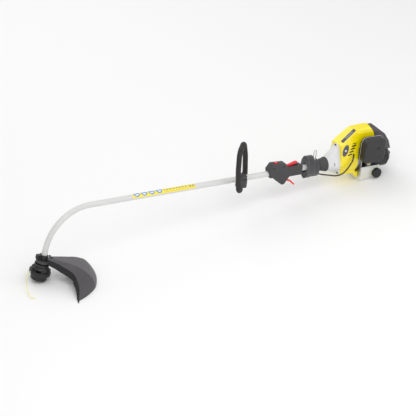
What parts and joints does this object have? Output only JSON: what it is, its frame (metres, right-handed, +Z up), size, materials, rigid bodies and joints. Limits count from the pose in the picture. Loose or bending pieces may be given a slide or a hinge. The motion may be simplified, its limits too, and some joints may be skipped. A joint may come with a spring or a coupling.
{
  "type": "string trimmer",
  "caption": "Petrol string trimmer with a curved shaft, loop handle, throttle handle, harness hook, guarded bump-feed head and a rear engine.",
  "frame": {"origin": "on the flat bottom of the fuel tank, in the tool's middle plane, where it meets the floor", "axes": "+X to the engine's rear, +Y to the user's right, +Z up; the shaft rises towards -X at 8.1 degrees"},
  "size_m": [1.8188, 0.2966, 0.3251],
  "materials": {
    "tube_paint": "satin light grey paint",
    "charcoal_plastic": "moulded charcoal plastic with a fine grain",
    "black_plastic": "moulded black plastic",
    "loop_rubber": "ribbed soft rubber",
    "boot_rubber": "soft grey rubber",
    "red_plastic": "bright red plastic",
    "yellow_plastic": "glossy yellow plastic",
    "white_plastic": "white moulded casing",
    "line_nylon": "pale yellow nylon line",
    "cast_aluminium": "bead-blasted casting",
    "steel": "turned steel",
    "dark_steel": "blackened steel",
    "webbing": "woven strap webbing",
    "tank_plastic": "milky translucent plastic",
    "primer_rubber": "soft clear rubber",
    "filter_foam": "open foam"
  },
  "bodies": {
    "frame": {"shaft_tube": "tube_paint", "flex_liner": "white_plastic", "flex_drive_shaft": "steel", "bearing_housing": "black_plastic", "guard": "charcoal_plastic", "guard_clamp": "charcoal_plastic", "line_cutter_blade": "steel", "throttle_handle_left": "charcoal_plastic", "throttle_handle_right": "charcoal_plastic", "throttle_conduit": "black_plastic", "harness_strap_roll": "webbing", "harness_strap_end": "webbing", "hanger_band": "steel", "snap_hook": "steel", "rubber_boot": "boot_rubber", "clutch_housing": "white_plastic", "crankcase": "cast_aluminium", "cylinder": "cast_aluminium", "piston": "cast_aluminium", "spark_plug": "steel", "plug_cap": "black_plastic", "engine_shroud": "yellow_plastic", "muffler": "dark_steel", "muffler_cover": "charcoal_plastic", "carburettor": "cast_aluminium", "air_filter_base": "black_plastic", "air_filter_element": "filter_foam", "air_filter_cover": "charcoal_plastic", "fuel_tank": "tank_plastic", "starter_housing": "black_plastic", "screws": "dark_steel", "ball_bearings": "steel", "pivot_pins": "steel"},
    "head": {"head_arbor": "steel", "dust_cup": "black_plastic", "spool_housing": "black_plastic", "line_eyelets": "cast_aluminium", "trimmer_line": "line_nylon", "bump_spring": "steel"},
    "bump": {"spool": "black_plastic", "wound_line": "line_nylon", "bump_knob": "black_plastic"},
    "drum": {"clutch_drum": "steel"},
    "crank": {"crankshaft": "steel", "flywheel": "cast_aluminium", "clutch_shoes": "steel"},
    "trigger": {"throttle_trigger": "red_plastic"},
    "lockout": {"lockout_lever": "red_plastic"},
    "stop": {"stop_switch": "red_plastic"},
    "gate": {"snap_hook_gate": "steel"},
    "choke": {"choke_lever": "black_plastic"},
    "primer": {"primer_bulb": "primer_rubber"},
    "cap": {"fuel_cap": "black_plastic"},
    "pull": {"starter_grip": "black_plastic"},
    "pulley": {"starter_pulley": "white_plastic"},
    "loop": {"loop_bar": "steel", "loop_grip": "loop_rubber", "loop_clamp_lower": "charcoal_plastic", "loop_clamp_upper": "charcoal_plastic", "loop_clamp_screws": "dark_steel"}
  },
  "joints": [
    {"name": "head_spin", "type": "hinge", "parent": "frame", "child": "head", "pos_m": [-1.55032, 0, 0.11087], "axis": [-0.289, 0, -0.9573], "continuous": true},
    {"name": "bump_press", "type": "slide", "parent": "head", "child": "bump", "axis": [0.289, 0, 0.9573], "range_m": [0, 0.006], "stiffness_N_per_m": 2500, "springref_m": -0.01, "deforming": ["bump_spring"]},
    {"name": "drum_spin", "type": "hinge", "parent": "frame", "child": "drum", "pos_m": [-0.112, 0, 0.1], "axis": [-0.99, 0, 0.1409], "continuous": true},
    {"name": "crank_spin", "type": "hinge", "parent": "frame", "child": "crank", "pos_m": [-0.112, 0, 0.1], "axis": [0.99, 0, -0.1409], "continuous": true},
    {"name": "trigger_squeeze", "type": "hinge", "parent": "frame", "child": "trigger", "pos_m": [-0.40065, 0, 0.10876], "axis": [0, -1, 0], "range_deg": [0, 14], "stiffness_Nm_per_rad": 0.5, "springref_deg": -22.92},
    {"name": "lockout_press", "type": "hinge", "parent": "frame", "child": "lockout", "pos_m": [-0.38065, 0, 0.15702], "axis": [0, 1, 0], "range_deg": [0, 7], "stiffness_Nm_per_rad": 0.5, "springref_deg": -17.19},
    {"name": "stop_slide", "type": "slide", "parent": "frame", "child": "stop", "axis": [0.99, 0, -0.1409], "range_m": [-0.0028, 0.0028]},
    {"name": "gate_swing", "type": "hinge", "parent": "frame", "child": "gate", "pos_m": [-0.23204, 0, 0.16496], "axis": [0, -1, 0], "range_deg": [0, 25], "stiffness_Nm_per_rad": 0.05, "springref_deg": -17.19},
    {"name": "choke_turn", "type": "hinge", "parent": "frame", "child": "choke", "pos_m": [0.04102, -0.049, 0.0964], "axis": [0, -1, 0], "range_deg": [0, 40]},
    {"name": "primer_press", "type": "slide", "parent": "frame", "child": "primer", "axis": [0, 1, 0], "range_m": [0, 0.003], "stiffness_N_per_m": 400, "springref_m": -0.002},
    {"name": "cap_turn", "type": "hinge", "parent": "frame", "child": "cap", "pos_m": [0.03908, -0.057, 0.02598], "axis": [0, -1, 0], "continuous": true},
    {"name": "starter_pull", "type": "slide", "parent": "frame", "child": "pull", "axis": [0.99, 0, -0.1409], "range_m": [0, 0.03], "stiffness_N_per_m": 60, "springref_m": -0.05},
    {"name": "pulley_spin", "type": "hinge", "parent": "frame", "child": "pulley", "pos_m": [0.03056, 0, 0.07971], "axis": [0.99, 0, -0.1409], "range_deg": [0, 67]},
    {"name": "loop_slide", "type": "slide", "parent": "frame", "child": "loop", "axis": [0.99, 0, -0.1409], "range_m": [-0.1, 0.04]}
  ],
  "couplings": [
    {"joint": "drum_spin", "follows": "head_spin", "ratio": 1},
    {"joint": "pulley_spin", "follows": "starter_pull", "rad_per_m": 38.46}
  ]
}
